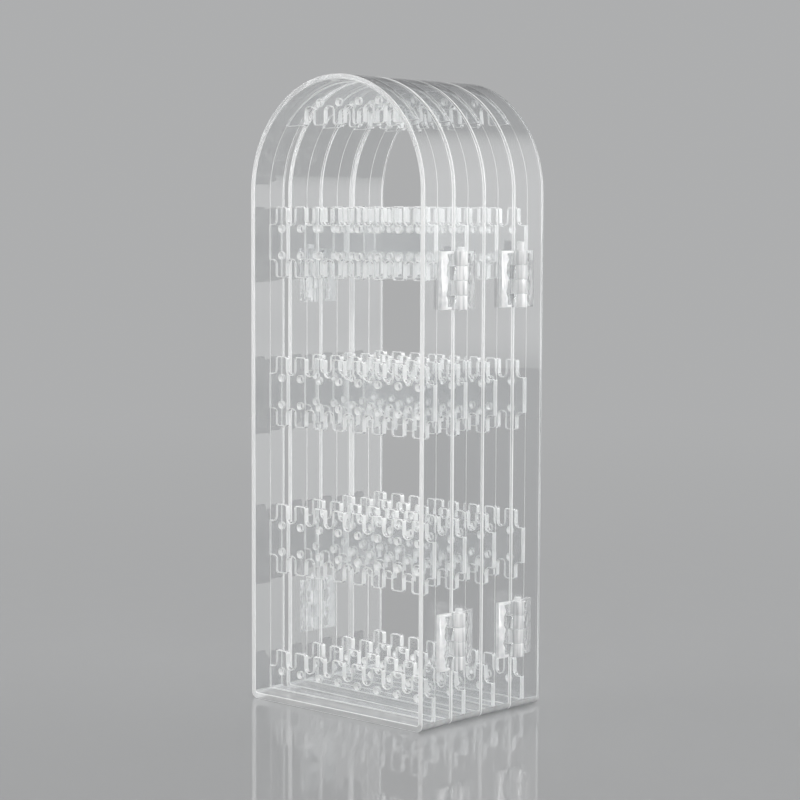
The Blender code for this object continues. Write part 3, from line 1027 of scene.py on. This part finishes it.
@dataclass
class Organizer:
    """The four panels and their hinges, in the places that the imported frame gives."""

    finishes: Finishes
    panels: int = 4
    pitch: float = 21.0
    tiers: tuple[float, ...] = (294.1, 222.2, 150.3, 78.4, 6.5)
    raised_pin: float = 2.4
    root: int = 2

    def __post_init__(self) -> None:
        """Read where the panels and the hinge axes are."""
        root_low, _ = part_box("panel_2_frame")
        self.front = root_low.y / MM - self.pitch
        self.axes = {frozenset((j["parent"], j["child"])): Vector(j["pos_m"]) / MM
                     for j in frame["joints"]}
        self.ajar = {j["child"]: (Vector(j["pos_m"]) / MM, -j["axis"][2] * j["range_deg"][0])
                     for j in frame["joints"]}

    def swing(self, panel: int) -> Matrix:
        """Work out how far a panel stands open at rest.

        Args:
            panel: Number of the panel.

        Returns:
            The turn from the closed stack about its hinge axis, in millimetres.
        """
        place, degrees = self.ajar.get(f"panel_{panel}", (Vector(), 0.0))
        shift = Matrix.Translation((place.x, place.y, 0.0))
        return shift @ Matrix.Rotation(math.radians(degrees), 4, "Z") @ shift.inverted()

    def add(self, piece: bpy.types.Object, panel: int, node: str, slot: str) -> None:
        """Let a piece ride on its panel and stand for its node.

        Args:
            piece: The finished piece.
            panel: Number of the panel that it moves with.
            node: CAD node that it replaces.
            slot: Name of its slot; not used.
        """
        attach(piece, f"panel_{panel}")
        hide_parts(node)
        LOG.info("%s: %d faces", piece.name, len(piece.data.polygons))

    def build_panels(self) -> None:
        """Four frames, each with its five bars."""
        panel_frame = PanelFrame()
        frame_shell = panel_frame.shell()
        last = len(self.tiers) - 1
        kinds = {0: BarKind.TOP, last: BarKind.BOTTOM}
        bars = [PegBar(kinds.get(tier, BarKind.DOUBLE), level).shell(panel_frame.depth / 2)
                for tier, level in enumerate(self.tiers)]
        looks = self.finishes
        for panel in range(1, self.panels + 1):
            depth = self.front + (panel - 1) * self.pitch
            place = self.swing(panel) @ Matrix.Translation((0, depth, 0))
            made = frame_shell.placed(place).to_object(
                f"frame_{panel}", [looks.wall, looks.rim_edge, looks.base, looks.rim])
            self.add(made, panel, f"panel_{panel}_frame", "frame_plastic")
            for tier, shell in enumerate(bars, 1):
                made = shell.placed(place).to_object(
                    f"bar_{panel}_{tier}", [looks.bar, looks.bar_edge, looks.bar_tip])
                self.add(made, panel, f"panel_{panel}_bar_{tier}", "bar_plastic")

    def build_hinges(self) -> None:
        """Two hinges between each pair of panels: two leaves and a pin each."""
        leaf = HingeLeaf()
        template = leaf.template(self.finishes)
        pin = HingePin(length=leaf.height).shell()
        over = Matrix.Translation((0, 0, leaf.height)) @ Matrix.Rotation(math.pi, 4, "X")
        for front in range(1, self.panels):
            back = front + 1
            axis = self.axes[frozenset((f"panel_{front}", f"panel_{back}"))]
            on_right = axis.x > 0
            side = Matrix.Rotation(0.0 if on_right else math.pi, 4, "Z")
            upright, flipped = (front, back) if on_right else (back, front)
            for level in ("lower", "upper"):
                name = f"hinge_{front}_{back}_{level}"
                low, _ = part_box(f"{name}_leaf_{upright}")
                place = Matrix.Translation((axis.x, axis.y, low.z / MM)) @ side
                for panel, turned in ((upright, place), (flipped, place @ over)):
                    mesh = template.copy()
                    # the flipped leaf's rib stays clear: only the upright leaf carries the painted
                    # glints
                    if panel == flipped:
                        mesh.materials[LeafFinish.RIB] = self.finishes.hinge
                    whole = self.swing(panel) @ turned
                    whole.translation *= MM
                    mesh.transform(whole)
                    made = put(f"leaf_{front}_{back}_{level}_{panel}", mesh)
                    self.add(made, panel, f"{name}_leaf_{panel}", "hinge_plastic")
                pin_panel = max(front, self.root)
                raised = self.raised_pin if (back, level) == (self.panels, "upper") else 0.0
                lift = self.swing(pin_panel) @ place @ Matrix.Translation((0, 0, raised))
                made = pin.placed(lift).to_object(
                    f"pin_{front}_{back}_{level}", [self.finishes.pin])
                self.add(made, pin_panel, f"{name}_pin", "pin_plastic")


# ---- the studio

@dataclass(frozen=True)
class Softbox:
    """A rectangular lamp that faces the organizer."""

    name: str
    place: Triple
    size: Pair
    watts: float
    on_floor: bool = False
    aim: Triple = (0.0, 0.0, 0.15)

    def build(self, floor_only: bpy.types.Collection) -> None:
        """Make the lamp.

        Its light fades towards its edges as 1 - t^4 each way, t from -1 to 1, and it shows
        neither to the camera nor through plastic. The floor mirrors none but those on_floor.

        Args:
            floor_only: The floor, marked as left out.
        """
        light = bpy.data.lights.new(self.name, "AREA")
        light.shape, light.energy = "RECTANGLE", self.watts
        light.size, light.size_y = self.size
        light.use_nodes = True
        graph = Graph(light.node_tree)
        across = graph.node("ShaderNodeNewGeometry", output="Parametric")
        level = 1.0
        for axis in ("X", "Y"):
            part = graph.part(across, axis) * 2.0 - 1.0
            square = part * part
            level = (1.0 - square * square) * level
        glow = graph.node("ShaderNodeEmission", None, {"Strength": level})
        graph.node("ShaderNodeOutputLight", None, {"Surface": glow})
        made = put(self.name, light)
        made.location = self.place
        ahead = Vector(self.aim) - Vector(self.place)
        made.rotation_euler = ahead.to_track_quat("-Z", "Y").to_euler()
        made.visible_camera = made.visible_transmission = False
        if not self.on_floor:
            made.light_linking.receiver_collection = floor_only


@dataclass(frozen=True)
class Studio:
    """Pale floor and surround, soft lamps and the camera."""

    backdrop: Triple = (0.42, 0.424, 0.428)
    ceiling: Triple = (0.18, 0.183, 0.186)
    ceiling_from: Pair = (0.14, 0.42)
    ambient: float = 0.62
    floor_colour: Triple = (0.58, 0.585, 0.591)
    floor_radius: float = 6.0
    floor_steps: int = 96
    floor_ior: float = 1.8
    grain_scale: float = 35.0
    grain_shade: float = 0.985
    grain_gloss: Pair = (0.015, 0.02)
    fade: Pair = (0.35, 1.5)
    camera_place: Triple = (0.685116, -0.725271, 0.231193)
    yaw: float = 43.260
    pitch: float = 4.843
    roll: float = 0.233
    lens: float = 93.57
    sensor: float = 36.0
    lamps: tuple[Softbox, ...] = (
        Softbox("lamp_right_back", (0.65, 0.7, 0.45), (0.7, 1.05), 5.0),
        Softbox("lamp_left_front", (-1.02, -0.98, 0.5), (0.5, 1.0), 1.0),
        Softbox("lamp_right", (1.35, 0.2, 0.6), (0.3, 1.0), 12.0),
        Softbox("lamp_front", (-0.3, -1.4, 0.6), (0.4, 1.0), 14.0),
        Softbox("lamp_top", (0.2, -0.1, 1.5), (0.5, 0.5), 2.0, on_floor=True),
        Softbox("lamp_left", (-1.3, 0.1, 0.7), (0.25, 1.0), 6.0))

    def seen(self, graph: Graph) -> Wire:
        """1 for rays that show the surround itself: straight, mirrored or through plastic."""
        straight, mirrored, through = (
            graph.node("ShaderNodeLightPath", output=name)
            for name in ("Is Camera Ray", "Is Glossy Ray", "Is Transmission Ray"))
        return straight.maximum(mirrored).maximum(through)

    def build_world(self) -> None:
        """Even surround: the backdrop's colour where it is seen, a plain soft light elsewhere."""
        world = bpy.data.worlds.new("surround")
        world.use_nodes = True
        bpy.context.scene.world = world
        graph = Graph(world.node_tree)
        light = graph.node("ShaderNodeBackground", None,
                           {"Color": (1.0, 1.0, 1.0), "Strength": self.ambient})
        way = graph.node("ShaderNodeTexCoord", output="Generated")
        overhead = graph.eased(graph.part(way, "Z"), *self.ceiling_from)
        colour = graph.mixed(overhead, self.backdrop, self.ceiling)
        shown = graph.node("ShaderNodeBackground", None, {"Color": colour, "Strength": 1.0})
        surface = graph.blended(self.seen(graph), light, shown)
        graph.node("ShaderNodeOutputWorld", None, {"Surface": surface})

    def build_floor(self) -> bpy.types.Collection:
        """A round floor, faintly glossy, that fades into the surround away from the organizer.

        Returns:
            A collection that marks the floor as left out of a lamp's light.
        """
        turn = np.linspace(0, 2 * np.pi, self.floor_steps, endpoint=False)
        rim = np.stack([np.cos(turn), np.sin(turn), np.zeros_like(turn)], 1) * self.floor_radius
        floor = bare("floor", rim / MM, [range(len(rim))])
        made = bpy.data.materials.new("floor_pale")
        made.use_nodes = True
        graph = Graph(made.node_tree)
        place = graph.node("ShaderNodeTexCoord", output="Object")
        away = graph.node("ShaderNodeVectorMath", {"operation": "LENGTH"}, {0: place}, "Value")
        grain = graph.noise(place, self.grain_scale, detail=3.0)
        shade = tuple(part * self.grain_shade for part in self.floor_colour)
        least, more = self.grain_gloss
        skin = graph.node("ShaderNodeBsdfPrincipled", None, {
            "Base Color": graph.mixed(grain, self.floor_colour, shade),
            "Roughness": grain * more + least, "IOR": self.floor_ior})
        glow = graph.node("ShaderNodeEmission", None, {"Color": self.backdrop, "Strength": 1.0})
        surface = graph.blended(graph.eased(away, *self.fade), skin, glow)
        graph.node("ShaderNodeOutputMaterial", None, {"Surface": surface})
        floor.data.materials.append(made)
        floor_only = bpy.data.collections.new("floor_left_out")
        floor_only.objects.link(floor)
        floor_only.collection_objects[0].light_linking.link_state = "EXCLUDE"
        return floor_only

    def build_camera(self) -> None:
        """The camera at the photograph's viewing angle."""
        data = bpy.data.cameras.new("camera")
        data.lens, data.sensor_width = self.lens, self.sensor
        camera = put("camera", data)
        place = Matrix.Translation(self.camera_place)
        for degrees, axis in ((self.yaw, "Z"), (90.0 - self.pitch, "X"), (self.roll, "Z")):
            place @= Matrix.Rotation(math.radians(degrees), 4, axis)
        camera.matrix_world = place
        bpy.context.scene.camera = camera

    def build(self) -> None:
        """Set up everything around the organizer."""
        self.build_world()
        floor_only = self.build_floor()
        self.build_camera()
        for lamp in self.lamps:
            lamp.build(floor_only)
        scene = bpy.context.scene
        scene.view_settings.view_transform = "Standard"
        scene.cycles.max_bounces = 28
        scene.cycles.transmission_bounces = 28
        scene.cycles.transparent_max_bounces = 32
        scene.cycles.glossy_bounces = 10
        scene.cycles.diffuse_bounces = 3


def main() -> None:
    """Build the organizer and its studio."""
    logging.basicConfig(level=logging.INFO, format="%(name)s: %(message)s")
    Studio().build()
    organizer = Organizer(Finishes.make())
    organizer.build_panels()
    organizer.build_hinges()


if __name__ == "__main__":
    main()
